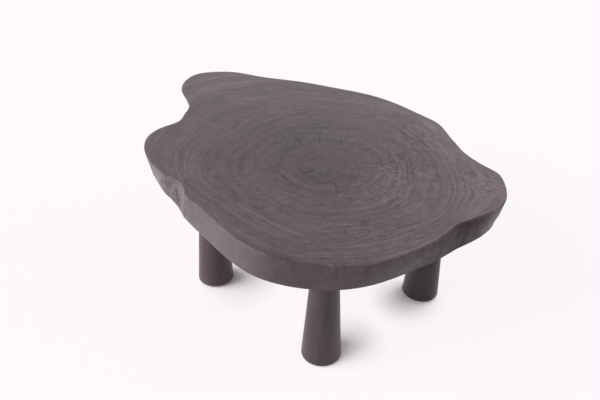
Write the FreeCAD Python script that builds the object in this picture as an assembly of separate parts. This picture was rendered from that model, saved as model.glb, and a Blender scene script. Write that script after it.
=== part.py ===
import FreeCAD, Part
import math
import os

# Live edge coffee table. One cross-cut slab of a trunk, flat on both faces and with its natural rim left
# on, stands on four turned legs. A hanger bolt in the top of each leg screws into a threaded insert in
# the underside of the slab, and a glide is nailed under each foot.
# Millimetres, +Z up. The origin is on the floor, under the middle of the slab's box.

# Overall sizes: the slab's width runs along X and its length along Y
table_height = 380.0
slab_width = 928.0
slab_length = 1065.0
slab_thickness = 65.0

# Rounding along the two arrises of the rim
top_edge_round = 3.0
underside_edge_round = 4.0

# Natural rim, measured from the pith of the trunk and then stretched to the slab's width and length. Each
# station has its bearing, anticlockwise from +X in degrees, and three lengths: the reach of the top edge,
# how far the underside draws in from that reach, and how far the wall swells out at half thickness.
rim_stations = {
    # right-hand end and the waist behind it
    0.0: (416.0, 10.0, 0.0),
    7.0: (388.0, 6.0, 4.0),
    14.0: (376.0, 6.0, 4.0),
    # long back edge
    28.0: (389.0, 8.0, 4.0),
    39.0: (424.0, 8.0, 5.0),
    50.0: (439.0, 8.0, 5.0),
    62.0: (468.0, 8.0, 5.0),
    75.0: (503.0, 8.0, 5.0),
    88.0: (538.0, 8.0, 5.0),
    98.0: (585.0, 8.0, 5.0),
    110.0: (659.0, 8.0, 5.0),
    # back-left lobe
    116.0: (729.0, 14.0, 4.0),
    121.0: (759.0, 24.0, 0.0),
    125.0: (768.0, 40.0, -4.0),
    129.0: (741.0, 68.0, -5.0),
    134.0: (675.0, 72.0, -6.0),
    # bay between the two lobes
    137.0: (596.0, 28.0, -4.0),
    141.0: (539.0, 5.0, 0.0),
    145.5: (515.0, 5.0, 0.0),
    150.0: (497.0, 5.0, 1.0),
    # left-hand lobe
    156.0: (510.0, 8.0, 3.0),
    163.0: (519.0, 11.0, 2.0),
    171.0: (499.0, 14.0, 1.0),
    180.0: (459.5, 16.0, 1.0),
    # hollow where a limb came off the left-hand wall
    187.0: (422.5, 4.0, 2.0),
    192.0: (393.5, -9.0, -5.0),
    197.0: (382.0, -9.5, -5.0),
    204.0: (377.0, -5.0, 3.0),
    # front edge
    213.0: (364.0, -11.0, 3.0),
    222.0: (363.0, -11.0, 3.0),
    233.0: (376.0, -9.0, 3.0),
    246.0: (397.0, -6.0, 3.0),
    260.0: (404.5, -3.0, 3.0),
    275.0: (406.0, 5.0, 3.0),
    286.0: (399.0, 10.0, 3.0),
    300.0: (382.0, 1.5, 3.0),
    # inner corner and the right-hand lobe
    311.0: (374.0, -3.0, 3.0),
    319.5: (372.5, -9.5, 2.0),
    325.0: (388.0, -5.5, 2.0),
    331.0: (408.0, 1.5, 1.0),
    338.0: (430.0, 11.5, -1.0),
    346.0: (437.5, 18.0, -4.0),
    353.0: (433.0, 13.0, -2.0),
}

# Turned legs, with each leg's axis placed from the pith
leg_foot_diameter = 100.0
leg_top_diameter = 58.0
leg_foot_round = 3.0
leg_top_round = 1.5
leg_places = {
    "front": (-12.6, -276.2),
    "left": (-311.1, 8.3),
    "right": (271.5, -34.2),
    "back": (-198.0, 471.0),
}

# Hanger bolts: a machine thread above the joint and a pointed wood screw below it
bolt_diameter = 10.0
bolt_length_in_slab = 28.0
bolt_length_in_leg = 60.0
bolt_point_length = 9.0
bolt_point_diameter = 2.0
bolt_end_chamfer = 1.0

# Threaded inserts, flush with the underside
insert_length = 30.0
insert_wall = 3.0
insert_flange_width = 3.0
insert_flange_thickness = 2.0

# Glides and the nails that hold them
glide_diameter = 60.0
glide_thickness = 4.0
glide_edge_round = 1.5
nail_diameter = 3.0
nail_length_in_leg = 24.0
nail_point_length = 5.0
nail_head_diameter = 7.0
nail_head_thickness = 1.2
nail_head_recess = 1.0

# Fits
screw_clearance = 0.1
hole_spare_depth = 3.0

# Sizes that follow from the ones above
underside_height = table_height - slab_thickness
foot_height = glide_thickness
insert_outer_diameter = bolt_diameter + 2 * screw_clearance + 2 * insert_wall
insert_flange_diameter = insert_outer_diameter + 2 * insert_flange_width

up = FreeCAD.Vector(0, 0, 1)


def upright_cylinder(diameter, low, high):
    """A cylinder on the Z axis between two heights."""
    return Part.makeCylinder(diameter / 2, high - low, FreeCAD.Vector(0, 0, low))


def turned(profile):
    """A solid turned about the Z axis from (radius, height) corners, given from the axis round to it."""
    corners = [FreeCAD.Vector(radius, 0, height) for radius, height in profile]
    section = Part.Face(Part.makePolygon(corners + corners[:1]))
    return section.revolve(FreeCAD.Vector(), up, 360)


def edges_at(shape, height):
    """The edges of a shape that lie flat at one height."""
    level = 0.001
    return [
        edge
        for edge in shape.Edges
        if abs(edge.BoundBox.ZMin - height) < level and abs(edge.BoundBox.ZMax - height) < level
    ]


def rim_points(height, reach_of, stretch):
    """Points round the rim at one height, where reach_of gives the reach at a station from its lengths."""
    points = []
    for bearing, lengths in rim_stations.items():
        angle = math.radians(bearing)
        reach = reach_of(*lengths)
        points.append(FreeCAD.Vector(
            stretch[0] * reach * math.cos(angle), stretch[1] * reach * math.sin(angle), height
        ))
    return points


def rim_loop(points, spacings):
    """A closed smooth loop through points, spaced along itself by spacings."""
    curve = Part.BSplineCurve()
    curve.interpolate(Points=points, PeriodicFlag=True, Parameters=spacings)
    return Part.Wire(curve.toShape())


def rim_loops(stretch):
    """The rim at the underside, at half thickness and at the top, all spaced alike."""
    half_height = underside_height + slab_thickness / 2
    underside = rim_points(underside_height, lambda reach, draw, swell: reach - draw, stretch)
    middle = rim_points(half_height, lambda reach, draw, swell: reach - draw / 2 + swell, stretch)
    top = rim_points(table_height, lambda reach, draw, swell: reach, stretch)
    spacings = [0.0]
    for start, end in zip(top, top[1:] + top[:1]):
        spacings.append(spacings[-1] + start.distanceToPoint(end))
    return [rim_loop(points, spacings) for points in (underside, middle, top)]


def make_wall(stretch):
    """The slab with sharp arrises, bounded by its rim wall and two flat faces."""
    return Part.makeLoft(rim_loops(stretch), True, False)


def make_slab(stretch):
    """The slab about its pith, before the insert holes are bored."""
    slab = make_wall(stretch)
    slab = slab.makeFillet(top_edge_round, edges_at(slab, table_height))
    return slab.makeFillet(underside_edge_round, edges_at(slab, underside_height))


def make_insert_hole():
    """The stepped hole for one insert, on the Z axis."""
    body = upright_cylinder(
        insert_outer_diameter + 2 * screw_clearance,
        underside_height,
        underside_height + insert_length + hole_spare_depth,
    )
    flange = upright_cylinder(
        insert_flange_diameter + 2 * screw_clearance,
        underside_height,
        underside_height + insert_flange_thickness,
    )
    return body.fuse(flange)


def make_insert():
    """One threaded insert with its flange flush with the underside."""
    body = upright_cylinder(insert_outer_diameter, underside_height, underside_height + insert_length)
    flange = upright_cylinder(
        insert_flange_diameter, underside_height, underside_height + insert_flange_thickness
    )
    bore = upright_cylinder(
        bolt_diameter + 2 * screw_clearance, underside_height, underside_height + insert_length
    )
    return body.fuse(flange).cut(bore).removeSplitter()


def make_bolt():
    """One hanger bolt across the joint between leg and slab."""
    radius = bolt_diameter / 2
    top = underside_height + bolt_length_in_slab
    tip = underside_height - bolt_length_in_leg
    return turned([
        (0, tip),
        (bolt_point_diameter / 2, tip),
        (radius, tip + bolt_point_length),
        (radius, top - bolt_end_chamfer),
        (radius - bolt_end_chamfer, top),
        (0, top),
    ])


def make_leg():
    """One tapered leg, bored for its bolt at the top and its nail at the foot."""
    leg = turned([
        (0, foot_height),
        (leg_foot_diameter / 2, foot_height),
        (leg_top_diameter / 2, underside_height),
        (0, underside_height),
    ])
    leg = leg.makeFillet(leg_foot_round, edges_at(leg, foot_height))
    leg = leg.makeFillet(leg_top_round, edges_at(leg, underside_height))
    bolt_hole = upright_cylinder(
        bolt_diameter + 2 * screw_clearance,
        underside_height - bolt_length_in_leg - hole_spare_depth,
        underside_height,
    )
    nail_hole = upright_cylinder(
        nail_diameter + 2 * screw_clearance,
        foot_height,
        foot_height + nail_length_in_leg + hole_spare_depth,
    )
    return leg.cut(bolt_hole).cut(nail_hole)


def make_glide():
    """One glide with a sunk hole for its nail."""
    disc = upright_cylinder(glide_diameter, 0, glide_thickness)
    disc = disc.makeFillet(glide_edge_round, edges_at(disc, 0))
    shank_hole = upright_cylinder(nail_diameter + 2 * screw_clearance, 0, glide_thickness)
    head_hole = upright_cylinder(
        nail_head_diameter + 2 * screw_clearance, 0, nail_head_recess + nail_head_thickness
    )
    return disc.cut(shank_hole).cut(head_hole)


def make_nail():
    """One nail, driven up through the glide into the foot."""
    radius = nail_diameter / 2
    shoulder = nail_head_recess + nail_head_thickness
    tip = foot_height + nail_length_in_leg
    return turned([
        (0, nail_head_recess),
        (nail_head_diameter / 2, nail_head_recess),
        (nail_head_diameter / 2, shoulder),
        (radius, shoulder),
        (radius, tip - nail_point_length),
        (0, tip),
    ])


# The stations as they were measured give the rim its shape, and the slab's width and length give it its size.
measured_box = make_slab((1, 1)).optimalBoundingBox(False, False)
rim_stretch = (slab_width / measured_box.XLength, slab_length / measured_box.YLength)

# Every place is measured from the pith, and then shifted so that the slab's box is centred on the origin.
slab_top = make_slab(rim_stretch)
slab_box = slab_top.optimalBoundingBox(False, False)
pith_place = FreeCAD.Vector(-slab_box.Center.x, -slab_box.Center.y, 0)

leg_pieces = {
    "leg": make_leg(),
    "hanger_bolt": make_bolt(),
    "threaded_insert": make_insert(),
    "floor_glide": make_glide(),
    "glide_nail": make_nail(),
}
insert_hole = make_insert_hole()

nodes = {}
for side, (across, along) in leg_places.items():
    leg_place = FreeCAD.Vector(rim_stretch[0] * across, rim_stretch[1] * along, 0)
    slab_top = slab_top.cut(insert_hole.translated(leg_place))
    for name, piece in leg_pieces.items():
        nodes[name + "_" + side] = piece.translated(leg_place + pith_place)
nodes["slab_top"] = slab_top.translated(pith_place)

os.makedirs("parts", exist_ok=True)
for name, shape in nodes.items():
    shape.exportStep("parts/" + name + ".step")
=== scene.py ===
import math
from functools import cache

import bmesh
import bpy
from bpy.props import FloatProperty, FloatVectorProperty, IntProperty, PointerProperty
from mathutils import Matrix, Vector, noise
from mathutils.bvhtree import BVHTree


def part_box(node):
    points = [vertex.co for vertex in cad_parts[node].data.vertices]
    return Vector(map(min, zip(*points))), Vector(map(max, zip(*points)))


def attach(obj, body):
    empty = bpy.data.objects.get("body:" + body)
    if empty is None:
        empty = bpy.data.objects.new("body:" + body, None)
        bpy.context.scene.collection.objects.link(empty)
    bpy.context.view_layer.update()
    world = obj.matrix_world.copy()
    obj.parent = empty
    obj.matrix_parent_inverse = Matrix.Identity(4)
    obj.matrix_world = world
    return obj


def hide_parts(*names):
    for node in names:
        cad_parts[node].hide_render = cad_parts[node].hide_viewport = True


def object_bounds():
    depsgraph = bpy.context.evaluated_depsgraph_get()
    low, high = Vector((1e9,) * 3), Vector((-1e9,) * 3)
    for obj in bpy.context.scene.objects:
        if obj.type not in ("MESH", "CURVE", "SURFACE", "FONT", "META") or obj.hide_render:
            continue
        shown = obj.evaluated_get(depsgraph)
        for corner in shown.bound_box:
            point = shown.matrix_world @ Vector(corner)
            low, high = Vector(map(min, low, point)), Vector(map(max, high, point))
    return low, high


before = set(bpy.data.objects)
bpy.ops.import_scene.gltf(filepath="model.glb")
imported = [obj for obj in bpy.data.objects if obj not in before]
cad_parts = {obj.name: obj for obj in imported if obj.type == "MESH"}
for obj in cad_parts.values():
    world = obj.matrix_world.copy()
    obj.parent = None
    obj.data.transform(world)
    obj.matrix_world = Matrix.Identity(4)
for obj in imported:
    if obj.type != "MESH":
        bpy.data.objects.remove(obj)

bl_info = {
    "name": "Live Edge Coffee Table",
    "version": (1, 0, 0),
    "blender": (4, 5, 0),
    "location": "3D View > Sidebar > Table",
    "description": "Dresses a black-stained trunk slab table on turned legs, and sets its studio stage",
    "category": "Object",
}

# The table as it was packed, in metres
cad_low, cad_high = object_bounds()
slab_low, slab_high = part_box("slab_top")
TOP = slab_high.z
UNDERSIDE = slab_low.z
SIDES = ("front", "left", "right", "back")

# Radial drying checks round the pith: bearing in degrees, start and end reach, width and depth
DRYING_CHECKS = (
    (99.2, 0.108, 0.2, 0.002, 0.0012),
    (100.2, 0.2, 0.27, 0.0014, 0.0012),
    (90.2, 0.106, 0.2, 0.0011, 0.0012),
    (75.8, 0.086, 0.158, 0.0016, 0.0015),
    (121.6, 0.092, 0.206, 0.0013, 0.0012),
    (209.8, 0.043, 0.082, 0.0028, 0.0018),
    (276.2, 0.044, 0.16, 0.0013, 0.0015),
    (284.2, 0.158, 0.192, 0.0009, 0.0012),
    (307.7, 0.138, 0.176, 0.0019, 0.0012),
    (321.9, 0.134, 0.168, 0.0022, 0.0012),
    (336.5, 0.158, 0.19, 0.001, 0.0012),
    (147, 0.04, 0.088, 0.0007, 0.0015),
    (38, 0.05, 0.098, 0.0007, 0.0015),
    (350, 0.044, 0.09, 0.0007, 0.0015),
    (248, 0.06, 0.112, 0.0007, 0.0015),
)

# Paler and darker places in the stain of the top: bearing, reach, radius, and change
STAIN_PATCHES = (
    (0, 0, 0.2, -0.15),
    (345, 0.165, 0.08, 0.14),
    (125, 0.25, 0.15, -0.15),
    (175, 0.215, 0.085, -0.12),
    (225, 0.13, 0.06, -0.09),
    (30, 0.34, 0.08, 0.1),
    (350, 0.31, 0.045, -0.08),
    (19.4, 0.176, 0.01, -0.12),
    (17.6, 0.19, 0.009, -0.16),
    (16, 0.203, 0.009, -0.18),
    (14.4, 0.216, 0.008, -0.12),
    (52, 0.156, 0.014, -0.12),
    (44, 0.158, 0.014, -0.12),
    (311, 0.228, 0.01, -0.2),
    (285.8, 0.263, 0.009, -0.2),
    (348, 0.41, 0.085, 0.47),
    (14, 0.39, 0.07, 0.43),
    (38, 0.41, 0.09, 0.26),
    (64, 0.46, 0.1, 0.18),
    (109, 0.545, 0.022, 0.18),
    (120.5, 0.575, 0.015, -0.16),
    (123.5, 0.592, 0.015, -0.16),
    (118, 0.66, 0.12, 0.08),
    (320, 0.24, 0.13, 0.16),
    (330, 0.37, 0.06, 0.14),
    (240, 0.32, 0.09, 0.1),
    (188, 0.4, 0.07, 0.08),
    (290, 0.29, 0.08, 0.06),
    (256, 0.4, 0.045, -0.06),
)

# Where the growth rings show more strongly: bearing, reach, radius, and change
FIGURE_PATCHES = (
    (28, 0.33, 0.15, 0.85),
    (352, 0.3, 0.1, 0.4),
    (275, 0.29, 0.15, 0.3),
    (322, 0.29, 0.12, 0.12),
    (225, 0.26, 0.12, 0.08),
    (150, 0.27, 0.11, -0.1),
    (112, 0.54, 0.14, 0.2),
    (95, 0.4, 0.1, 0.22),
)

# Where the growth rings crowd towards the pith or spread from it: bearing, reach, radius, and change
RING_DRIFT = (
    (0, 0.215, 0.085, 0.026),
    (335, 0.225, 0.07, 0.014),
    (28, 0.225, 0.07, 0.014),
    (56, 0.27, 0.08, -0.014),
    (317, 0.29, 0.07, -0.016),
    (355, 0.335, 0.06, 0.012),
    (118, 0.34, 0.12, -0.016),
    (143, 0.33, 0.09, 0.008),
    (198, 0.34, 0.08, -0.012),
)

# Where the medullary rays show as pale flecks: bearing, reach, radius, and change
FLECK_PATCHES = (
    (345, 0.15, 0.06, 1.7),
    (10, 0.17, 0.05, 0.6),
    (347, 0.39, 0.055, 2.4),
    (228, 0.24, 0.06, 0.6),
    (85, 0.14, 0.06, 0.5),
    (95, 0.2, 0.07, 0.4),
    (278, 0.3, 0.1, 0.5),
)

# Stretches of the top arris with worn wood and painted highlight: first and last bearing, and strength. The
# long stretches are pale lines of painted highlight on worn wood, and the short one near 268 degrees is a
# chip.
RUBBED_AND_HIGHLIGHT_STRETCHES = (
    (228, 252, 0.22),
    (267.8, 269.6, 0.8),
    (293, 338, 0.28),
)

# Relief of the wall, most of it in the limb scar at the left: bearing, half width in degrees, middle height
# and half height as shares of the thickness, and how far it stands out
WALL_RELIEF = (
    (193.5, 6, 0.48, 0.34, -0.0035),
    (198, 5, 1, 0.26, -0.006),
    (189.4, 1, 0.62, 0.26, -0.0022),
    (191.6, 0.9, 0.54, 0.26, -0.0016),
    (195.2, 1.1, 0.58, 0.3, -0.0018),
    (203.4, 1.9, 0.58, 0.5, 0.0026),
    (206.4, 1.2, 0.6, 0.4, -0.0012),
    (22.5, 5, 0.5, 3, 0.0028),
    (35.5, 4, 0.5, 3, -0.0018),
    (130, 3, 0.8, 1, 0.003),
    (280, 4.5, 1, 0.6, 0.0035),
    (298, 10, 0, 0.55, -0.0065),
    (357.5, 4, 0.9, 0.6, 0.0026),
    (337, 9, 0.56, 0.36, 0.0028),
    (337, 9, 0.12, 0.3, -0.0016),
)

# Paler and darker places painted on the wall, measured as its relief is, and change. Most of them are
# painted
# light and shade: the paler lip, middle and ridges and the darker creases of the limb scar, the paler left
# wall that faces the key light, the darker right wall with a painted shadow just under its arris, and the
# paler right end lit from the right. The marks on the front wall, paler at 242 degrees and darker at 252 and
# 259, only change the tone.
WALL_STAIN_AND_PAINTED_LIGHT = (
    (184.5, 4, 0.6, 0.8, 0.48),
    (189.6, 0.9, 0.62, 0.24, -0.24),
    (192.8, 0.9, 0.5, 0.24, -0.24),
    (193.5, 5, 0.6, 0.5, 0.22),
    (199, 4, 0.85, 0.34, 0.3),
    (203.6, 1, 0.66, 0.36, 0.18),
    (206.3, 1, 0.6, 0.4, -0.06),
    (212, 14, 0.5, 3, 0.13),
    (230, 10, 0.5, 3, 0.1),
    (252, 12, 0.5, 3, -0.09),
    (242, 7, 0.5, 3, 0.08),
    (259, 6, 0.5, 3, -0.06),
    (283, 20, 0.5, 3, -0.15),
    (315, 17, 0.5, 3, -0.43),
    (328, 11, 0.92, 0.26, -0.2),
    (334, 3, 0.7, 0.7, 0.42),
    (347, 6, 0.5, 3, 0.14),
)

# Where the wall is rougher than elsewhere: bearing, half width in degrees, and change
WALL_ROUGHNESS = (
    (195, 13, 1.6),
    (314, 25, 0.8),
)
SMOOTH_WALL = 0.3

# Waves per metre in the wall's flutes and dents, and how strong the dents are beside the flutes
FLUTE_WAVES = Vector((22.0, 22.0, 7.0))
DENT_WAVES = 60.0
DENT_SHARE = 0.4

# Waves per metre along a drying check, and how far it strays to each side
CHECK_WAVES = 60.0
CHECK_WANDER = 0.003

# Marks round the pith: fan with the bearing, marks per metre across the rings, detail and roughness
RING_MARKS = {
    "streaks": (10.0, 140.0, 4.0, 0.66),
    "lines": (2.4, 120.0, 3.0, 0.62),
    "arcs": (0.8, 110.0, 0.0, 0.5),
    "near rays": (26.0, 40.0, 2.0, 0.6),
    "far rays": (110.0, 80.0, 1.0, 0.5),
}

# How far the rings wander, and how strong they and the flecks are away from every patch
RING_WANDER = 0.045
TOP_FIGURE = 0.4
UNDERSIDE_FIGURE = 0.6
FLECKS = 0.2

# How strongly marks change the stain, and how pale it is on the top and on the wall without them
STAIN_CONTRAST = 0.69
TOP_STAIN_LEVEL = 0.26
WALL_STAIN_LEVEL = 0.28

# How much paler or darker each leg is painted, as painted light on the left leg that faces the key light and
# painted shade on the right leg under the slab, and the waves per metre of its lathe work
LEG_PAINTED_LIGHT = {"front": 0.0, "left": 0.35, "right": -0.5, "back": 0.1}
LATHE_WAVES = Vector((20.0, 20.0, 12.0))

# Colour and roughness of each metal
METALS = {
    "zinc_steel": ((0.62, 0.63, 0.66), 0.34),
    "insert_brass": ((0.72, 0.55, 0.26), 0.3),
    "nail_steel": ((0.5, 0.5, 0.51), 0.38),
}

# Values that the slab carries on its points for its materials
SLAB_VALUES = ("ring", "stain", "figure", "flecks", "check", "rubbed_and_highlight")

# Points of a mesh that are closer than this become one
MERGE = 1e-6

# What every colour setting has
COLOUR = {"subtype": "COLOR", "min": 0.0, "max": 1.0}


class SlabSettings(bpy.types.PropertyGroup):
    """Shape and stain of the slab."""

    pith: FloatVectorProperty(
        name="Pith", description="Where the growth rings start, seen from above",
        size=2, default=(0.0352, -0.1239), subtype="COORDINATES", unit="LENGTH",
    )
    columns: IntProperty(name="Columns", description="Divisions round the rim", default=640, min=60)
    top_steps: IntProperty(name="Top steps", description="Divisions from pith to rim", default=84, min=8)
    wall_steps: IntProperty(name="Wall steps", description="Divisions down the wall", default=28, min=12)
    underside_steps: IntProperty(name="Lower steps", description="Divisions below", default=16, min=4)
    arris: FloatProperty(name="Arris", description="Rounding of both edges", default=0.003, unit="LENGTH")
    flute: FloatProperty(name="Flutes", description="Depth of wall flutes", default=0.0008, unit="LENGTH")
    ring_reach: FloatProperty(
        name="Ring reach", description="Reach of the outermost growth ring", default=0.4, unit="LENGTH",
    )
    stain_dark: FloatVectorProperty(
        name="Dark stain", description="Stain in the late wood", default=(0.0235, 0.0155, 0.019), **COLOUR,
    )
    stain_pale: FloatVectorProperty(
        name="Pale stain", description="Stain on the early wood", default=(0.2, 0.155, 0.174), **COLOUR,
    )
    wall_dark: FloatVectorProperty(
        name="Dark wall", description="Stain in the wall's grain", default=(0.026, 0.0155, 0.0165), **COLOUR,
    )
    wall_pale: FloatVectorProperty(
        name="Pale wall", description="Stain on the sanded wall", default=(0.203, 0.178, 0.199), **COLOUR,
    )
    # Painted shade deep in a drying check
    check_shade: FloatVectorProperty(
        name="Checks", description="Colour deep in a check", default=(0.008, 0.006, 0.006), **COLOUR,
    )
    # Colour of worn wood, also used for the painted highlight along the arris
    worn_wood_and_highlight: FloatVectorProperty(
        name="Worn wood", description="Bare wood on a rubbed edge", default=(0.26, 0.19, 0.14), **COLOUR,
    )


class LegSettings(bpy.types.PropertyGroup):
    """Shape and stain of the turned legs."""

    columns: IntProperty(name="Columns", description="Divisions round a leg", default=96, min=24)
    steps: IntProperty(name="Steps", description="Divisions up a leg", default=56, min=8)
    top_radius: FloatProperty(name="Top radius", description="Under the slab", default=0.029, unit="LENGTH")
    end_round: FloatProperty(name="Ends", description="Rounding of both ends", default=0.003, unit="LENGTH")
    hand_turning: FloatProperty(
        name="Hand turning", description="How far the lathe strays", default=0.0005, unit="LENGTH",
    )
    bolt_hole_radius: FloatProperty(
        name="Bolt hole radius", description="Radius of the bolt's hole", default=0.0051, unit="LENGTH",
    )
    bolt_hole_depth: FloatProperty(
        name="Bolt hole depth", description="Depth of the bolt's hole", default=0.063, unit="LENGTH",
    )
    nail_hole_radius: FloatProperty(
        name="Nail hole radius", description="Radius of the nail's hole", default=0.0016, unit="LENGTH",
    )
    nail_hole_depth: FloatProperty(
        name="Nail hole depth", description="Depth of the nail's hole", default=0.027, unit="LENGTH",
    )
    stain_dark: FloatVectorProperty(
        name="Dark stain", description="Stain in the grain", default=(0.024, 0.0173, 0.02), **COLOUR,
    )
    stain_pale: FloatVectorProperty(
        name="Pale stain", description="Stain between the grain", default=(0.064, 0.0461, 0.0535), **COLOUR,
    )


class ScrewSettings(bpy.types.PropertyGroup):
    """Threads and ends of the hanger bolts and their inserts."""

    columns: IntProperty(name="Columns", description="Divisions round a screw", default=32, min=12)
    bolt_steps: IntProperty(name="Bolt steps", description="Divisions along a bolt", default=352, min=60)
    insert_steps: IntProperty(name="Insert steps", description="Divisions up an insert", default=120, min=20)
    thread_depth: FloatProperty(
        name="Thread depth", description="Share of pitch", default=0.45, subtype="FACTOR", min=0.0, max=1.0,
    )
    machine_pitch: FloatProperty(
        name="Machine pitch", description="Pitch between bolt and insert", default=0.0015, unit="LENGTH",
    )
    wood_pitch: FloatProperty(
        name="Wood pitch", description="Pitch of the bolt in the leg", default=0.0036, unit="LENGTH",
    )
    knife_pitch: FloatProperty(
        name="Knife pitch", description="Pitch of the insert in the slab", default=0.0024, unit="LENGTH",
    )
    neck: FloatProperty(name="Neck", description="Run-out of the threads", default=0.004, unit="LENGTH")
    point_length: FloatProperty(
        name="Point length", description="Length of the bolt's point", default=0.009, unit="LENGTH",
    )
    point_radius: FloatProperty(
        name="Point radius", description="Radius at the tip of the point", default=0.001, unit="LENGTH",
    )
    end_chamfer: FloatProperty(
        name="End chamfer", description="Chamfer at the bolt's upper end", default=0.001, unit="LENGTH",
    )
    insert_wall: FloatProperty(
        name="Insert wall", description="Thickness of the insert's wall", default=0.003, unit="LENGTH",
    )
    flange_width: FloatProperty(
        name="Flange width", description="How far the flange stands out", default=0.003, unit="LENGTH",
    )
    flange_thickness: FloatProperty(
        name="Flange thickness", description="Thickness of the flange", default=0.002, unit="LENGTH",
    )


class StageSettings(bpy.types.PropertyGroup):
    """Floor, light and camera."""

    floor_size: FloatProperty(name="Size", description="Side of the floor", default=24.0, unit="LENGTH")
    floor_colour: FloatVectorProperty(
        name="Floor", description="Colour of the floor", default=(0.9, 0.855, 0.885), **COLOUR,
    )
    backdrop_colour: FloatVectorProperty(
        name="Backdrop", description="Colour behind the floor", default=(0.99, 0.945, 0.98), **COLOUR,
    )
    floor_glow: FloatProperty(
        name="Floor glow", description="Share of the open floor that shows as the even backdrop",
        default=0.92, subtype="FACTOR", min=0.0, max=1.0,
    )
    contact_reach: FloatProperty(
        name="Contact reach", description="How far the feet shade the floor", default=0.14, unit="LENGTH",
    )
    shade_centre: FloatVectorProperty(
        name="Shade centre", description="Place on the floor that the light from the sides reaches least",
        default=(0.18, -0.26, 0.0), subtype="COORDINATES", unit="LENGTH",
    )
    shade_lean: FloatProperty(
        name="Shade lean", description="Distance from the shade centre where light falls at 45 degrees",
        default=0.06, unit="LENGTH",
    )
    room_colour: FloatVectorProperty(
        name="Room", description="Colour of the light all round", default=(1.0, 0.975, 0.99), **COLOUR,
    )
    room_light: FloatProperty(name="Room light", description="Strength all round", default=0.45, min=0.0)
    key_strength: FloatProperty(name="Key strength", description="From the left", default=5.4, min=0.0)
    key_direction: FloatVectorProperty(
        name="Key direction", description="From the table", default=(-2.8, -0.7, 1.0), subtype="XYZ",
    )
    fill_strength: FloatProperty(name="Fill strength", description="From the right", default=2.3, min=0.0)
    fill_direction: FloatVectorProperty(
        name="Fill direction", description="From the table", default=(2.5, 0.1, 0.35), subtype="XYZ",
    )
    light_spread: FloatProperty(
        name="Spread", description="How wide each light looks", default=math.radians(55.0), subtype="ANGLE",
    )
    camera_place: FloatVectorProperty(
        name="Camera", description="Where the camera stands",
        default=(-0.0391, -1.4631, 1.125), subtype="COORDINATES", unit="LENGTH",
    )
    camera_pitch: FloatProperty(
        name="Pitch", description="How far it looks down", default=math.radians(32.4), subtype="ANGLE",
    )
    camera_roll: FloatProperty(
        name="Roll", description="How far it leans", default=math.radians(1.42), subtype="ANGLE",
    )
    focal_length: FloatProperty(name="Focal length", description="In millimetres", default=36.0, min=1.0)


# Shader helpers


def add(tree, kind, sockets=None, **settings):
    """A node with its settings, and with its input sockets linked or set. A plain colour is opaque."""
    node = tree.nodes.new(kind)
    for name, value in settings.items():
        setattr(node, name, value)
    for key, value in (sockets or {}).items():
        socket = node.inputs[key]
        if isinstance(value, bpy.types.NodeSocket):
            tree.links.new(value, socket)
        elif socket.type == "RGBA":
            socket.default_value = (*value, 1.0)
        else:
            socket.default_value = value
    return node


def calculate(tree, operation, first, second=0.0, third=0.0):
    """The result of a sum on values."""
    return add(tree, "ShaderNodeMath", {0: first, 1: second, 2: third}, operation=operation).outputs[0]


def weigh(tree, terms, total=0.0):
    """A start value plus values that are each times their weight."""
    for value, weight in terms:
        total = calculate(tree, "MULTIPLY_ADD", value, weight, total)
    return total


def remap(tree, value, low, high, new_low=0.0, new_high=1.0):
    """A value moved from one range to another and held inside it."""
    sockets = {"Value": value, "From Min": low, "From Max": high, "To Min": new_low, "To Max": new_high}
    return add(tree, "ShaderNodeMapRange", sockets).outputs["Result"]


def centred(tree, noise_value, spread):
    """Noise that spreads about its middle, brought to between -0.5 and 0.5."""
    return remap(tree, noise_value, 0.5 - spread, 0.5 + spread, -0.5, 0.5)


def mix_colour(tree, amount, first, second):
    """Two colours mixed by an amount."""
    return add(tree, "ShaderNodeMix", {0: amount, 6: first, 7: second}, data_type="RGBA").outputs[2]


def stretch(tree, place, scale):
    """Coordinates scaled along each axis."""
    return add(tree, "ShaderNodeMapping", {"Vector": place, "Scale": scale}).outputs["Vector"]


def speckle(tree, place, scale=1.0, detail=3.0, roughness=0.6):
    """Solid noise at one scale."""
    sockets = {"Vector": place, "Scale": scale, "Detail": detail, "Roughness": roughness}
    return add(tree, "ShaderNodeTexNoise", sockets).outputs[0]


def streak(tree, along, scale, roughness):
    """Noise along a single value."""
    sockets = {"W": along, "Scale": scale, "Roughness": roughness}
    return add(tree, "ShaderNodeTexNoise", sockets, noise_dimensions="1D").outputs[0]


def object_place(tree):
    """The Object coordinates of a piece."""
    return tree.nodes.new("ShaderNodeTexCoord").outputs["Object"]


def piece_value(tree, name):
    """A value that a piece carries on its points."""
    return add(tree, "ShaderNodeAttribute", attribute_name=name).outputs["Fac"]


# Shared shader groups


def new_group(name, **inputs):
    """An empty shader group with its inputs, and the sockets that give them."""
    tree = bpy.data.node_groups.new(name, "ShaderNodeTree")
    for socket_name, kind in inputs.items():
        tree.interface.new_socket(name=socket_name, in_out="INPUT", socket_type="NodeSocket" + kind)
    return tree, tree.nodes.new("NodeGroupInput").outputs


def finish_group(tree, results):
    """A shader group with an output for each of its results."""
    for name in results:
        tree.interface.new_socket(name=name, in_out="OUTPUT", socket_type="NodeSocketFloat")
    add(tree, "NodeGroupOutput", results)
    return tree


def ring_marks(tree, outward, ring, kind):
    """Noise that changes with the bearing by its fan, and across the rings by its marks per metre."""
    fan, per_metre, detail, roughness = RING_MARKS[kind]
    rise = add(tree, "ShaderNodeCombineXYZ", {"Z": calculate(tree, "MULTIPLY", ring, per_metre)})
    sockets = {0: outward, 1: (fan, fan, fan), 2: rise.outputs[0]}
    place = add(tree, "ShaderNodeVectorMath", sockets, operation="MULTIPLY_ADD").outputs[0]
    return speckle(tree, place, detail=detail, roughness=roughness)


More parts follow.
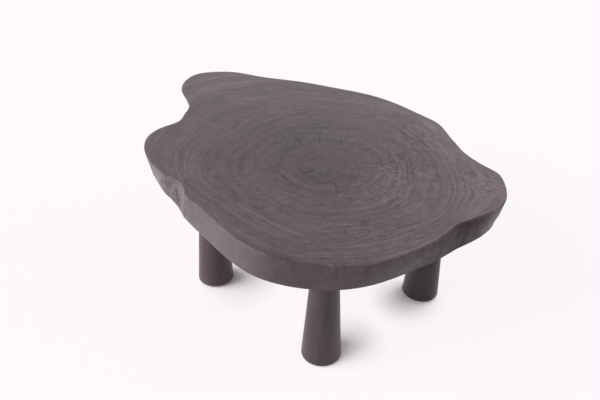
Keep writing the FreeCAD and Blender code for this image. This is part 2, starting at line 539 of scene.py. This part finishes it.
def build_growth_rings(name):
    """Streaks, lines and bands along the rings, rays across them, pale arcs, and the strength of all."""
    tree, given = new_group(name, Ring="Float", Place="Vector")
    place = given["Place"]
    wander = speckle(tree, place, 4.0, detail=2.0, roughness=0.45)
    ring = calculate(tree, "MULTIPLY_ADD", wander, RING_WANDER, given["Ring"])
    flat_place = stretch(tree, place, (1.0, 1.0, 0.0))
    outward = add(tree, "ShaderNodeVectorMath", {0: flat_place}, operation="NORMALIZE").outputs[0]
    near_rays = ring_marks(tree, outward, ring, "near rays")
    far_rays = ring_marks(tree, outward, ring, "far rays")
    outer = remap(tree, given["Ring"], 0.2, 0.3)
    rays = add(tree, "ShaderNodeMix", {0: outer, 2: near_rays, 3: far_rays}, data_type="FLOAT")
    patches = speckle(tree, place, 8.0, roughness=0.55)
    return finish_group(tree, {
        "Streaks": centred(tree, ring_marks(tree, outward, ring, "streaks"), 0.16),
        "Lines": centred(tree, ring_marks(tree, outward, ring, "lines"), 0.16),
        "Bands": centred(tree, streak(tree, ring, 34.0, roughness=0.5), 0.15),
        "Arcs": remap(tree, ring_marks(tree, outward, ring, "arcs"), 0.62, 0.74),
        "Rays": centred(tree, rays.outputs[0], 0.14),
        "Strength": remap(tree, patches, 0.36, 0.64, 0.45, 1.55),
    })


def build_long_grain(name):
    """Streaks and fibres of grain that run upright, about 0."""
    tree, given = new_group(name, Place="Vector")
    lines = speckle(tree, stretch(tree, given["Place"], (60.0, 60.0, 7.0)), detail=4.0)
    fibres = speckle(tree, stretch(tree, given["Place"], (170.0, 170.0, 40.0)))
    return finish_group(tree, {"Lines": centred(tree, lines, 0.16), "Fibres": centred(tree, fibres, 0.16)})


def build_stain_mottle(name):
    """Soft clouds and blotches in a stain, and the fine dust that lies on it, about 0."""
    tree, given = new_group(name, Place="Vector")
    clouds = speckle(tree, given["Place"], 5.0, detail=5.0, roughness=0.66)
    blotches = speckle(tree, given["Place"], 55.0)
    dust = speckle(tree, given["Place"], 300.0, detail=2.0, roughness=0.7)
    return finish_group(tree, {
        "Clouds": centred(tree, clouds, 0.18),
        "Blotches": centred(tree, blotches, 0.16),
        "Dust": centred(tree, dust, 0.16),
    })


def build_edge_wear_and_highlight(name):
    """Broken wear and painted highlight on an edge, from a mask of where they lie."""
    tree, given = new_group(name, Rubbed="Float", Place="Vector")
    patches = speckle(tree, given["Place"], 24.0, detail=4.0, roughness=0.65)
    scuffs = speckle(tree, given["Place"], 200.0, roughness=0.7)
    broken = weigh(tree, ((remap(tree, patches, 0.36, 0.6), 0.6), (remap(tree, scuffs, 0.3, 0.6), 0.4)))
    return finish_group(tree, {"Wear and highlight": calculate(tree, "MULTIPLY", broken, given["Rubbed"])})


GROUPS = {
    "Growth rings": build_growth_rings,
    "Long grain": build_long_grain,
    "Stain mottle": build_stain_mottle,
    "Edge wear and highlight": build_edge_wear_and_highlight,
}


def place_group(tree, name, **sockets):
    """A shared group placed in a material, on Object coordinates unless it is given a place."""
    if "Place" not in sockets:
        sockets["Place"] = object_place(tree)
    group = bpy.data.node_groups.get(name) or GROUPS[name](name)
    return add(tree, "ShaderNodeGroup", sockets, node_tree=group).outputs


# Materials


def new_material(name):
    """A material with an empty node tree."""
    material = bpy.data.materials.new(name)
    material.use_nodes = True
    material.node_tree.nodes.clear()
    return material, material.node_tree


def finish_material(tree, colour, roughness, height, depth, specular=0.5, metallic=0.0):
    """A Principled shader with a bump of a given depth."""
    bump = add(tree, "ShaderNodeBump", {"Height": height, "Distance": depth})
    shader = add(tree, "ShaderNodeBsdfPrincipled", {
        "Base Color": colour, "Roughness": roughness, "Normal": bump.outputs["Normal"],
        "Specular IOR Level": specular, "Metallic": metallic,
    })
    add(tree, "ShaderNodeOutputMaterial", {"Surface": shader.outputs["BSDF"]})


def stain_colour(tree, slab, marks, level, dark, pale):
    """Stain between dark and pale by the marks in it, some of which are painted light and shade, and bare
    wood where an edge is worn, which also paints a highlight along the arris.
    """
    amount = calculate(tree, "MULTIPLY_ADD", marks, STAIN_CONTRAST, level)
    colour = mix_colour(tree, amount, dark, pale)
    # Worn wood and painted highlight along the rubbed stretches of the arris
    wear_and_highlight = place_group(tree, "Edge wear and highlight", Rubbed=piece_value(tree, "rubbed_and_highlight"))
    return mix_colour(tree, wear_and_highlight["Wear and highlight"], colour, slab.worn_wood_and_highlight)


def end_grain_material(slab):
    """Black-stained end grain with growth rings, rays, checks that hold painted shade, and an edge with
    worn wood and painted highlight.
    """
    material, tree = new_material("ebonised_end_grain")
    from_pith = add(tree, "ShaderNodeMapping", {
        "Vector": object_place(tree), "Location": (-slab.pith[0], -slab.pith[1], -TOP),
    }).outputs["Vector"]
    rings = place_group(tree, "Growth rings", Ring=piece_value(tree, "ring"), Place=from_pith)
    mottle = place_group(tree, "Stain mottle")
    figure = calculate(tree, "MULTIPLY", rings["Strength"], piece_value(tree, "figure"))
    rays = calculate(tree, "MULTIPLY", rings["Rays"], piece_value(tree, "flecks"))
    lines = weigh(tree, ((rings["Streaks"], 0.56), (rings["Lines"], 0.42)))
    lines = calculate(tree, "MULTIPLY", lines, figure)
    marks = weigh(tree, (
        (lines, 1.0), (rings["Bands"], 0.1), (rings["Arcs"], 0.14), (mottle["Clouds"], 0.22),
        (mottle["Blotches"], 0.12), (mottle["Dust"], 0.28), (rays, 0.3), (piece_value(tree, "stain"), 1.0),
    ))
    colour = stain_colour(tree, slab, marks, TOP_STAIN_LEVEL, slab.stain_dark, slab.stain_pale)
    # Painted shade darkens each drying check
    crack = piece_value(tree, "check")
    colour = mix_colour(tree, crack, colour, slab.check_shade)
    roughness = weigh(tree, ((lines, 0.08), (mottle["Clouds"], 0.06), (crack, 0.5)), total=0.4)
    height = weigh(tree, ((lines, 1.0), (mottle["Dust"], 0.25), (rays, 0.3)))
    finish_material(tree, colour, roughness, height, depth=0.0003, specular=0.35)
    return material


def rim_material(slab):
    """Black-stained wall of the trunk, with upright grain."""
    material, tree = new_material("ebonised_rim")
    grain = place_group(tree, "Long grain")
    mottle = place_group(tree, "Stain mottle")
    lines = weigh(tree, (
        (grain["Lines"], 0.18), (grain["Fibres"], 0.16),
        (mottle["Clouds"], 0.16), (mottle["Blotches"], 0.24),
    ))
    lines = calculate(tree, "MULTIPLY", lines, piece_value(tree, "figure"))
    # The stain value brings the wall's painted light and shade into its colour
    marks = weigh(tree, ((lines, 1.0), (mottle["Dust"], 0.06), (piece_value(tree, "stain"), 1.0)))
    colour = stain_colour(tree, slab, marks, WALL_STAIN_LEVEL, slab.wall_dark, slab.wall_pale)
    roughness = remap(tree, grain["Lines"], -0.5, 0.5, 0.4, 0.5)
    finish_material(tree, colour, roughness, lines, depth=0.0006, specular=0.2)
    return material


def leg_material(legs):
    """Black-stained turned wood with upright grain and faint lathe marks."""
    material, tree = new_material("ebonised_leg")
    grain = place_group(tree, "Long grain")
    mottle = place_group(tree, "Stain mottle")
    upward = add(tree, "ShaderNodeSeparateXYZ", {0: object_place(tree)}).outputs["Z"]
    lathe_marks = remap(tree, streak(tree, upward, 700.0, roughness=0.6), 0.3, 0.7)
    # The stain value paints light on the left leg and shade on the right leg
    amount = weigh(tree, (
        (grain["Lines"], 0.35), (grain["Fibres"], 0.15), (mottle["Clouds"], 0.35),
        (piece_value(tree, "stain"), 1.0),
    ), total=0.5)
    colour = mix_colour(tree, amount, legs.stain_dark, legs.stain_pale)
    roughness = remap(tree, grain["Lines"], -0.5, 0.5, 0.38, 0.46)
    height = weigh(tree, ((grain["Lines"], 1.0), (lathe_marks, 0.4)))
    finish_material(tree, colour, roughness, height, depth=0.00015, specular=0.3)
    return material


def metal_material(name):
    """Plated or machined metal with turned marks and dull places."""
    colour, roughness = METALS[name]
    material, tree = new_material(name)
    place = object_place(tree)
    marks = speckle(tree, stretch(tree, place, (60.0, 60.0, 1500.0)))
    tarnish = remap(tree, speckle(tree, place, 90.0), 0.4, 0.7)
    tint = mix_colour(tree, tarnish, colour, [0.7 * part for part in colour])
    gloss = remap(tree, marks, 0.3, 0.7, roughness - 0.08, roughness + 0.08)
    finish_material(tree, tint, gloss, marks, depth=0.0001, metallic=1.0)
    return material


def nylon_material():
    """Moulded black nylon with a fine texture and scuffs."""
    material, tree = new_material("glide_nylon")
    place = object_place(tree)
    texture = speckle(tree, place, 900.0, detail=2.0)
    scuffs = speckle(tree, stretch(tree, place, (40.0, 160.0, 40.0)), detail=4.0, roughness=0.7)
    scuffs = remap(tree, scuffs, 0.55, 0.75)
    black = (0.018, 0.018, 0.02)
    scuffed = (0.06, 0.06, 0.062)
    colour = mix_colour(tree, scuffs, black, scuffed)
    finish_material(tree, colour, remap(tree, scuffs, 0.0, 1.0, 0.42, 0.6), texture, depth=0.0001)
    return material


# Mesh helpers


def new_object(name, shape, materials):
    """An object at the origin from a finished bmesh."""
    mesh = bpy.data.meshes.new(name)
    shape.to_mesh(mesh)
    shape.free()
    for material in materials:
        mesh.materials.append(material)
    item = bpy.data.objects.new(name, mesh)
    bpy.context.collection.objects.link(item)
    return item


def new_piece(name, shape, materials):
    """A smooth piece from a finished bmesh, riding on the table."""
    bmesh.ops.recalc_face_normals(shape, faces=shape.faces[:])
    for face in shape.faces:
        face.smooth = True
    piece = new_object(name, shape, materials)
    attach(piece, "root")
    return piece


def smoothstep(low, high, value):
    """A smooth rise from 0 at low to 1 at high."""
    part = min(max((value - low) / (high - low), 0.0), 1.0)
    return part * part * (3.0 - 2.0 * part)


def bell(offset, half_width):
    """A smooth bump, 1 at no offset."""
    return math.exp(-((offset / half_width) ** 2))


def turn_between(first, second):
    """The signed turn in degrees from one bearing to another."""
    return (second - first + 180.0) % 360.0 - 180.0


# Slab


def wall_roughness(bearing):
    """How rough the wall is at a bearing."""
    roughness = SMOOTH_WALL
    for middle, half_width, change in WALL_ROUGHNESS:
        roughness += change * bell(turn_between(middle, bearing), half_width)
    return roughness


def wall_marks(marks, bearing, height):
    """The sum of what some marks in the wall change at a bearing and a height."""
    share = (height - UNDERSIDE) / (TOP - UNDERSIDE)
    total = 0.0
    for middle, half_width, level, half_height, change in marks:
        turn = turn_between(middle, bearing)
        if abs(turn) < 3 * half_width:
            total += change * bell(turn, half_width) * bell(share - level, half_height)
    return total


class RimGauge:
    """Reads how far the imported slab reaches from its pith, and adds the wall's own relief."""

    def __init__(self, slab):
        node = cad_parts["slab_top"]
        solid = bmesh.new()
        solid.from_mesh(node.data)
        solid.transform(node.matrix_world)
        self.tree = BVHTree.FromBMesh(solid)
        solid.free()
        self.slab = slab

    def packed_reach(self, bearing, height):
        """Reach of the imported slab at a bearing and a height."""
        angle = math.radians(bearing)
        outward = Vector((math.cos(angle), math.sin(angle), 0.0))
        pith = Vector((*self.slab.pith, height))
        hit = self.tree.ray_cast(pith + outward * (cad_high - cad_low).length, -outward)[0]
        if hit is None:
            raise RuntimeError("the slab has no wall at bearing %.1f" % bearing)
        return (hit - pith).length

    def relief(self, bearing, reach, height):
        """How far the wall stands out: soft flutes all round, the limb scar, and trims of the rim."""
        angle = math.radians(bearing)
        place = Vector((math.cos(angle) * reach, math.sin(angle) * reach, height))
        waves = noise.noise(place * FLUTE_WAVES) + DENT_SHARE * noise.noise(place * DENT_WAVES)
        soft = self.slab.flute * wall_roughness(bearing) * waves
        return soft + wall_marks(WALL_RELIEF, bearing, height)

    @cache
    def reach(self, bearing, height):
        """Reach of the finished wall at a bearing and a height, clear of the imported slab's roundings."""
        lowest = UNDERSIDE + 1.4 * self.slab.arris
        highest = TOP - 1.1 * self.slab.arris
        level = min(max(height, lowest), highest)
        packed = self.packed_reach(bearing, level)
        return packed + self.relief(bearing, packed, level)

    @cache
    def outline(self, bearing):
        """Reach of the top edge with its dents and bays evened out."""
        height = TOP - self.slab.arris
        turns = range(-15, 16, 3)
        return sum(self.packed_reach(bearing + turn, height) for turn in turns) / len(turns)


def wall_station(level, steps, arris):
    """Height and inset of one level of the wall, which is rounded at its top and bottom."""
    arc_steps = 4
    from_face = min(level, steps - level)
    if from_face > arc_steps:
        part = (level - arc_steps) / (steps - 2 * arc_steps)
        return TOP - arris - part * (TOP - UNDERSIDE - 2 * arris), 0.0
    turn = math.pi / 2 * from_face / arc_steps
    depth = arris * (1 - math.cos(turn))
    height = TOP - depth if level == from_face else UNDERSIDE + depth
    return height, arris * (1 - math.sin(turn))


def check_place(entry, bearing, reach, offset):
    """Bearing, drop and mask of a point of the top that lies in or beside a drying check."""
    middle, start, end, width, depth = entry
    along = (reach - start) / (end - start)
    if not 0.0 < along < 1.0:
        return bearing, 0.0, 0.0
    opening = math.sin(math.pi * along) ** 0.7
    wander = CHECK_WANDER * noise.noise(Vector((middle, reach * CHECK_WAVES, 0.0)))
    wander -= offset * width / 2 * opening
    mask = 0.0 if offset else opening
    return middle + math.degrees(wander / reach), depth * mask, mask


def patches_at(patches, bearing, reach):
    """The sum of the changes that some round patches of the top make at a place."""
    total = 0.0
    for patch_bearing, patch_reach, radius, change in patches:
        turn = math.radians(bearing - patch_bearing)
        square = reach ** 2 + patch_reach ** 2 - 2 * reach * patch_reach * math.cos(turn)
        total += change * bell(math.sqrt(max(square, 0.0)), radius)
    return total


def rubbed_and_highlight_strength(bearing):
    """How strongly the top arris shows worn wood and painted highlight at a bearing."""
    strength = 0.0
    for first, last, amount in RUBBED_AND_HIGHLIGHT_STRETCHES:
        fade = min(4.0, (last - first) / 3)
        rise = smoothstep(first, first + fade, bearing)
        fall = 1.0 - smoothstep(last - fade, last, bearing)
        strength = max(strength, amount * rise * fall)
    return strength


def ring_at(slab, outline, reach):
    """The growth ring at a reach: round near the pith, and along the evened outline further out."""
    share = reach / outline
    outermost = slab.ring_reach + 0.25 * (outline - slab.ring_reach)
    follow = smoothstep(0.25, 1.0, share)
    return share * (outline * (1.0 - follow) + outermost * follow)


def top_point(gauge, slab, share, bearing, neighbours):
    """Place and values of a point on the top, where neighbours holds the checks beside its column."""
    rim = gauge.reach(bearing, TOP) - slab.arris
    reach = share * rim
    values = {
        "ring": ring_at(slab, gauge.outline(bearing), reach) + patches_at(RING_DRIFT, bearing, reach),
        "stain": patches_at(STAIN_PATCHES, bearing, reach),
        "figure": TOP_FIGURE + patches_at(FIGURE_PATCHES, bearing, reach),
        "flecks": FLECKS + patches_at(FLECK_PATCHES, bearing, reach),
        # Worn wood and painted highlight on the arris
        "rubbed_and_highlight": rubbed_and_highlight_strength(bearing) * smoothstep(0.994, 1.0, share),
    }
    drop = 0.0
    for offset, entry in neighbours:
        bearing, drop, values["check"] = check_place(entry, bearing, reach, offset)
    return (bearing, reach, TOP - drop), values


def wall_point(gauge, slab, level, bearing):
    """Place and values of a point on the rim wall."""
    height, inset = wall_station(level, slab.wall_steps, slab.arris)
    near_top = 1.0 - smoothstep(0.4 * slab.arris, 1.2 * slab.arris, TOP - height)
    values = {
        "ring": slab.ring_reach,
        # The wall's stain value carries its painted light and shade as well as its stain
        "stain": wall_marks(WALL_STAIN_AND_PAINTED_LIGHT, bearing, height),
        "figure": wall_roughness(bearing),
        # Worn wood and painted highlight on the arris
        "rubbed_and_highlight": rubbed_and_highlight_strength(bearing) * near_top,
    }
    return (bearing, gauge.reach(bearing, height) - inset, height), values


def underside_point(gauge, slab, share, bearing):
    """Place and values of a point on the underside."""
    reach = share * (gauge.reach(bearing, UNDERSIDE) - slab.arris)
    ring = ring_at(slab, gauge.outline(bearing), reach)
    return (bearing, reach, UNDERSIDE), {"ring": ring, "figure": UNDERSIDE_FIGURE, "flecks": FLECKS}


def build_slab(slab):
    """The slab as one closed mesh, with the values that its materials read on its points."""
    gauge = RimGauge(slab)
    wall_start = slab.top_steps
    wall_end = slab.top_steps + slab.wall_steps
    steps = wall_end + slab.underside_steps
    shape = bmesh.new()
    bmesh.ops.create_grid(shape, x_segments=slab.columns, y_segments=steps, size=0.5)
    layers = {name: shape.verts.layers.float.new(name) for name in SLAB_VALUES}
    checks = {round(entry[0] / 360 * slab.columns): entry for entry in DRYING_CHECKS}
    for vert in shape.verts:
        column = round((vert.co.x + 0.5) * slab.columns) % slab.columns
        step = round((vert.co.y + 0.5) * steps)
        bearing = 360.0 * column / slab.columns
        if step <= wall_start:
            beside = [(side, checks[column + side]) for side in (-1, 0, 1) if column + side in checks]
            place, values = top_point(gauge, slab, step / slab.top_steps, bearing, beside)
        elif step <= wall_end:
            place, values = wall_point(gauge, slab, step - wall_start, bearing)
        else:
            place, values = underside_point(gauge, slab, (steps - step) / slab.underside_steps, bearing)
        angle = math.radians(place[0])
        vert.co.x = slab.pith[0] + place[1] * math.cos(angle)
        vert.co.y = slab.pith[1] + place[1] * math.sin(angle)
        vert.co.z = place[2]
        for name, value in values.items():
            vert[layers[name]] = value
    bmesh.ops.remove_doubles(shape, verts=shape.verts[:], dist=MERGE)
    lowest = UNDERSIDE + 0.0001
    highest = TOP - 0.3 * slab.arris
    flattest = 0.8
    for face in shape.faces:
        if lowest < face.calc_center_median().z < highest and abs(face.normal.z) < flattest:
            face.material_index = 1
    return shape


class TABLE_OT_slab(bpy.types.Operator):
    """Build the trunk slab with its natural rim, growth rings and drying checks"""

    bl_idname = "live_edge_table.slab"
    bl_label = "Build Slab"

    def execute(self, context):
        slab = context.scene.table_slab
        piece = new_piece("trunk_slab", build_slab(slab), [end_grain_material(slab), rim_material(slab)])
        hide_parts("slab_top")
        return {"FINISHED"}


# Legs


def build_leg(legs, side):
    """One turned leg, spun from its half section, in its place."""
    low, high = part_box("leg_" + side)
    centre = (low + high) / 2
    foot_radius = (high.x - low.x) / 2
    nail_radius = legs.nail_hole_radius
    nail_end = low.z + legs.nail_hole_depth
    bolt_radius = legs.bolt_hole_radius
    bolt_end = high.z - legs.bolt_hole_depth
    nail_hole = [(0.0, nail_end), (nail_radius, nail_end), (nail_radius, low.z)]
    outside = [(foot_radius, low.z), (legs.top_radius, high.z)]
    bolt_hole = [(bolt_radius, high.z), (bolt_radius, bolt_end), (0.0, bolt_end)]
    shape = bmesh.new()
    section = nail_hole + outside + bolt_hole
    corners = [shape.verts.new((radius, 0.0, height)) for radius, height in section]
    for pair in zip(corners, corners[1:]):
        shape.edges.new(pair)
    bmesh.ops.bevel(
        shape, geom=corners[len(nail_hole):-len(bolt_hole)], offset=legs.end_round, offset_type="OFFSET",
        affect="VERTICES", segments=5, profile=0.5, material=-1,
    )
    longest = max(shape.edges, key=lambda edge: edge.calc_length())
    bmesh.ops.subdivide_edges(shape, edges=[longest], cuts=legs.steps - 1)
    bmesh.ops.spin(
        shape, geom=shape.verts[:] + shape.edges[:], cent=(0.0, 0.0, 0.0), axis=(0.0, 0.0, 1.0),
        angle=math.tau, steps=legs.columns, use_merge=True,
    )
    bmesh.ops.remove_doubles(shape, verts=shape.verts[:], dist=MERGE)
    seed = Vector((7.0 * SIDES.index(side), 3.0, 0.0))
    # Each leg's stain value holds its painted light and shade
    stain = shape.verts.layers.float.new("stain")
    for vert in shape.verts:
        vert[stain] = LEG_PAINTED_LIGHT[side]
        waves = noise.noise(vert.co * LATHE_WAVES + seed)
        swell = 1.0 + legs.hand_turning * waves / foot_radius
        vert.co.x = centre.x + vert.co.x * swell
        vert.co.y = centre.y + vert.co.y * swell
    return shape


class TABLE_OT_legs(bpy.types.Operator):
    """Build the turned legs"""

    bl_idname = "live_edge_table.legs"
    bl_label = "Build Legs"

    def execute(self, context):
        legs = context.scene.table_legs
        material = leg_material(legs)
        for side in SIDES:
            piece = new_piece("turned_leg_" + side, build_leg(legs, side), [material])
            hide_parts("leg_" + side)
        return {"FINISHED"}


# Hanger bolts and threaded inserts


def screw_mesh(columns, stations, centre):
    """A closed mesh turned about an upright axis, from stations of radius, height, pitch and groove."""
    rows = len(stations) - 1
    shape = bmesh.new()
    bmesh.ops.create_grid(shape, x_segments=columns, y_segments=rows, size=0.5)
    for vert in shape.verts:
        turn = vert.co.x + 0.5
        radius, height, pitch, depth = stations[round((vert.co.y + 0.5) * rows)]
        groove = abs(2.0 * (((height - UNDERSIDE) / pitch - turn) % 1.0) - 1.0)
        radius -= depth * groove
        angle = math.tau * turn
        vert.co = (centre.x + radius * math.cos(angle), centre.y + radius * math.sin(angle), height)
    bmesh.ops.remove_doubles(shape, verts=shape.verts[:], dist=MERGE)
    return shape


def steps_between(start, end, steps):
    """Heights from a start to an end in even steps, both included."""
    return [start + (end - start) * step / steps for step in range(steps + 1)]


def build_bolt(screws, side):
    """One hanger bolt from its point up: a wood screw below the joint, and a machine thread above it."""
    low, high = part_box("hanger_bolt_" + side)
    crest = (high.x - low.x) / 2
    taper = (crest - screws.point_radius) / screws.point_length
    stations = [(0.0, low.z, screws.wood_pitch, 0.0)]
    for height in steps_between(low.z, high.z, screws.bolt_steps):
        pointed = screws.point_radius + taper * (height - low.z)
        chamfered = crest - screws.end_chamfer + high.z - height
        radius = min(crest, pointed, chamfered)
        pitch = screws.machine_pitch if height > UNDERSIDE else screws.wood_pitch
        run_out = smoothstep(0.0, screws.neck, abs(height - UNDERSIDE))
        stations.append((radius, height, pitch, screws.thread_depth * pitch * run_out * radius / crest))
    stations.append((0.0, high.z, screws.machine_pitch, 0.0))
    return screw_mesh(screws.columns, stations, (low + high) / 2)


def build_insert(screws, side):
    """One threaded insert: up its bore, down its outside and round its flange."""
    low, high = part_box("threaded_insert_" + side)
    flange = (high.x - low.x) / 2
    body = flange - screws.flange_width
    bore = body - screws.insert_wall
    shoulder = low.z + screws.flange_thickness
    bore_depth = -screws.thread_depth * screws.machine_pitch
    knife_depth = screws.thread_depth * screws.knife_pitch
    stations = []
    for height in steps_between(low.z, high.z, screws.insert_steps):
        stations.append((bore, height, screws.machine_pitch, bore_depth))
    for height in steps_between(high.z, shoulder, screws.insert_steps):
        stations.append((body, height, screws.knife_pitch, knife_depth))
    for height in (shoulder, low.z):
        stations.append((flange, height, screws.knife_pitch, 0.0))
    stations.append(stations[0])
    return screw_mesh(screws.columns, stations, (low + high) / 2)


class TABLE_OT_bolts(bpy.types.Operator):
    """Build the hanger bolts with their threads"""

    bl_idname = "live_edge_table.bolts"
    bl_label = "Build Hanger Bolts"

    def execute(self, context):
        screws = context.scene.table_screws
        material = metal_material("zinc_steel")
        for side in SIDES:
            piece = new_piece("threaded_bolt_" + side, build_bolt(screws, side), [material])
            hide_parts("hanger_bolt_" + side)
        return {"FINISHED"}


class TABLE_OT_inserts(bpy.types.Operator):
    """Build the threaded inserts with their bores and flanges"""

    bl_idname = "live_edge_table.inserts"
    bl_label = "Build Threaded Inserts"

    def execute(self, context):
        screws = context.scene.table_screws
        material = metal_material("insert_brass")
        for side in SIDES:
            piece = new_piece("brass_insert_" + side, build_insert(screws, side), [material])
            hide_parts("threaded_insert_" + side)
        return {"FINISHED"}


# Glides and nails


class TABLE_OT_fittings(bpy.types.Operator):
    """Finish the glides and nails"""

    bl_idname = "live_edge_table.fittings"
    bl_label = "Finish Glides and Nails"

    def execute(self, context):
        finishes = {"floor_glide": nylon_material(), "glide_nail": metal_material("nail_steel")}
        for name, material in finishes.items():
            for side in SIDES:
                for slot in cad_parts[name + "_" + side].material_slots:
                    slot.material = material
        return {"FINISHED"}


# Stage


def rays_that_look(tree):
    """1 for the rays by which the camera sees a surface, straight or in a reflection, and 0 for light."""
    paths = tree.nodes.new("ShaderNodeLightPath").outputs
    seen = calculate(tree, "MAXIMUM", paths["Is Camera Ray"], paths["Is Glossy Ray"])
    return calculate(tree, "MAXIMUM", seen, paths["Is Transmission Ray"])


def floor_material(stage):
    """Pale floor that shows partly as the even backdrop, and keeps its full shadow close to the feet."""
    material, tree = new_material("studio_floor")
    place = object_place(tree)
    clouds = remap(tree, speckle(tree, place, 1.3, roughness=0.5), 0.3, 0.7)
    darker = [0.985 * part for part in stage.floor_colour]
    colour = mix_colour(tree, clouds, stage.floor_colour, darker)
    shader = add(tree, "ShaderNodeBsdfPrincipled", {
        "Base Color": colour, "Roughness": 0.9, "Specular IOR Level": 0.1,
    })
    glow = add(tree, "ShaderNodeEmission", {"Color": stage.backdrop_colour, "Strength": 1.0})
    overhead = Vector(stage.shade_centre)
    overhead.z -= stage.shade_lean
    slope = add(tree, "ShaderNodeVectorMath", {0: place, 1: overhead}, operation="SUBTRACT")
    to_light = add(tree, "ShaderNodeVectorMath", {0: slope.outputs[0]}, operation="NORMALIZE")
    open_floor = add(tree, "ShaderNodeAmbientOcclusion", {
        "Distance": stage.contact_reach, "Normal": to_light.outputs[0],
    }, samples=8).outputs["AO"]
    share = remap(tree, open_floor, 0.66, 1.0, 0.0, stage.floor_glow)
    amount = calculate(tree, "MULTIPLY", rays_that_look(tree), share)
    mixed = add(tree, "ShaderNodeMixShader", {0: amount, 1: shader.outputs["BSDF"], 2: glow.outputs[0]})
    add(tree, "ShaderNodeOutputMaterial", {"Surface": mixed.outputs[0]})
    return material


def build_world(stage):
    """Even room light, with the pale backdrop where the camera and reflections look."""
    world = bpy.data.worlds.new("studio_room")
    world.use_nodes = True
    tree = world.node_tree
    tree.nodes.clear()
    backdrop = add(tree, "ShaderNodeBackground", {"Color": stage.backdrop_colour, "Strength": 1.0})
    room = add(tree, "ShaderNodeBackground", {"Color": stage.room_colour, "Strength": stage.room_light})
    mixed = add(tree, "ShaderNodeMixShader", {
        0: rays_that_look(tree), 1: room.outputs[0], 2: backdrop.outputs[0],
    })
    add(tree, "ShaderNodeOutputWorld", {"Surface": mixed.outputs[0]})
    return world


def add_light(name, strength, direction, spread):
    """One wide soft light, which leaves no glare on the top from any side."""
    lamp = bpy.data.lights.new(name, "SUN")
    lamp.energy = strength
    lamp.angle = spread
    item = bpy.data.objects.new(name, lamp)
    item.location = direction
    item.rotation_euler = Vector(direction).to_track_quat("Z", "Y").to_euler()
    item.visible_glossy = False
    bpy.context.collection.objects.link(item)


def add_camera(stage):
    """The camera at the photograph's viewing angle."""
    lens = bpy.data.cameras.new("photo_camera")
    lens.lens = stage.focal_length
    camera = bpy.data.objects.new("photo_camera", lens)
    pitch = Matrix.Rotation(math.pi / 2 - stage.camera_pitch, 4, "X")
    roll = Matrix.Rotation(stage.camera_roll, 4, "Z")
    camera.matrix_world = Matrix.Translation(stage.camera_place) @ pitch @ roll
    bpy.context.collection.objects.link(camera)
    return camera


class TABLE_OT_stage(bpy.types.Operator):
    """Set the floor, the soft studio light and the camera"""

    bl_idname = "live_edge_table.stage"
    bl_label = "Set Stage"

    def execute(self, context):
        scene = context.scene
        stage = scene.table_stage
        shape = bmesh.new()
        bmesh.ops.create_grid(shape, x_segments=1, y_segments=1, size=stage.floor_size / 2)
        floor = new_object("studio_floor", shape, [floor_material(stage)])
        scene.world = build_world(stage)
        add_light("key_light", stage.key_strength, stage.key_direction, stage.light_spread)
        add_light("fill_light", stage.fill_strength, stage.fill_direction, stage.light_spread)
        scene.camera = add_camera(stage)
        scene.view_settings.view_transform = "Standard"
        return {"FINISHED"}


class TABLE_PT_builder(bpy.types.Panel):
    """Lists the table's pieces and its stage"""

    bl_idname = "TABLE_PT_builder"
    bl_label = "Live Edge Table"
    bl_space_type = "VIEW_3D"
    bl_region_type = "UI"
    bl_category = "Table"

    def draw(self, context):
        scene = context.scene
        groups = (
            (TABLE_OT_slab, scene.table_slab),
            (TABLE_OT_legs, scene.table_legs),
            (TABLE_OT_bolts, scene.table_screws),
            (TABLE_OT_inserts, None),
            (TABLE_OT_fittings, None),
            (TABLE_OT_stage, scene.table_stage),
        )
        for operator, settings in groups:
            box = self.layout.box()
            box.operator(operator.bl_idname)
            if settings is not None:
                for name in settings.__annotations__:
                    box.prop(settings, name)


SETTINGS = {
    "table_slab": SlabSettings,
    "table_legs": LegSettings,
    "table_screws": ScrewSettings,
    "table_stage": StageSettings,
}
CLASSES = (
    *SETTINGS.values(),
    TABLE_OT_slab,
    TABLE_OT_legs,
    TABLE_OT_bolts,
    TABLE_OT_inserts,
    TABLE_OT_fittings,
    TABLE_OT_stage,
    TABLE_PT_builder,
)


def register():
    for cls in CLASSES:
        bpy.utils.register_class(cls)
    for name, settings in SETTINGS.items():
        setattr(bpy.types.Scene, name, PointerProperty(type=settings))


def unregister():
    for name in SETTINGS:
        delattr(bpy.types.Scene, name)
    for cls in reversed(CLASSES):
        bpy.utils.unregister_class(cls)


def main():
    """Register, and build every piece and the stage."""
    register()
    bpy.ops.live_edge_table.slab()
    bpy.ops.live_edge_table.legs()
    bpy.ops.live_edge_table.bolts()
    bpy.ops.live_edge_table.inserts()
    bpy.ops.live_edge_table.fittings()
    bpy.ops.live_edge_table.stage()


if __name__ == "__main__":
    main()
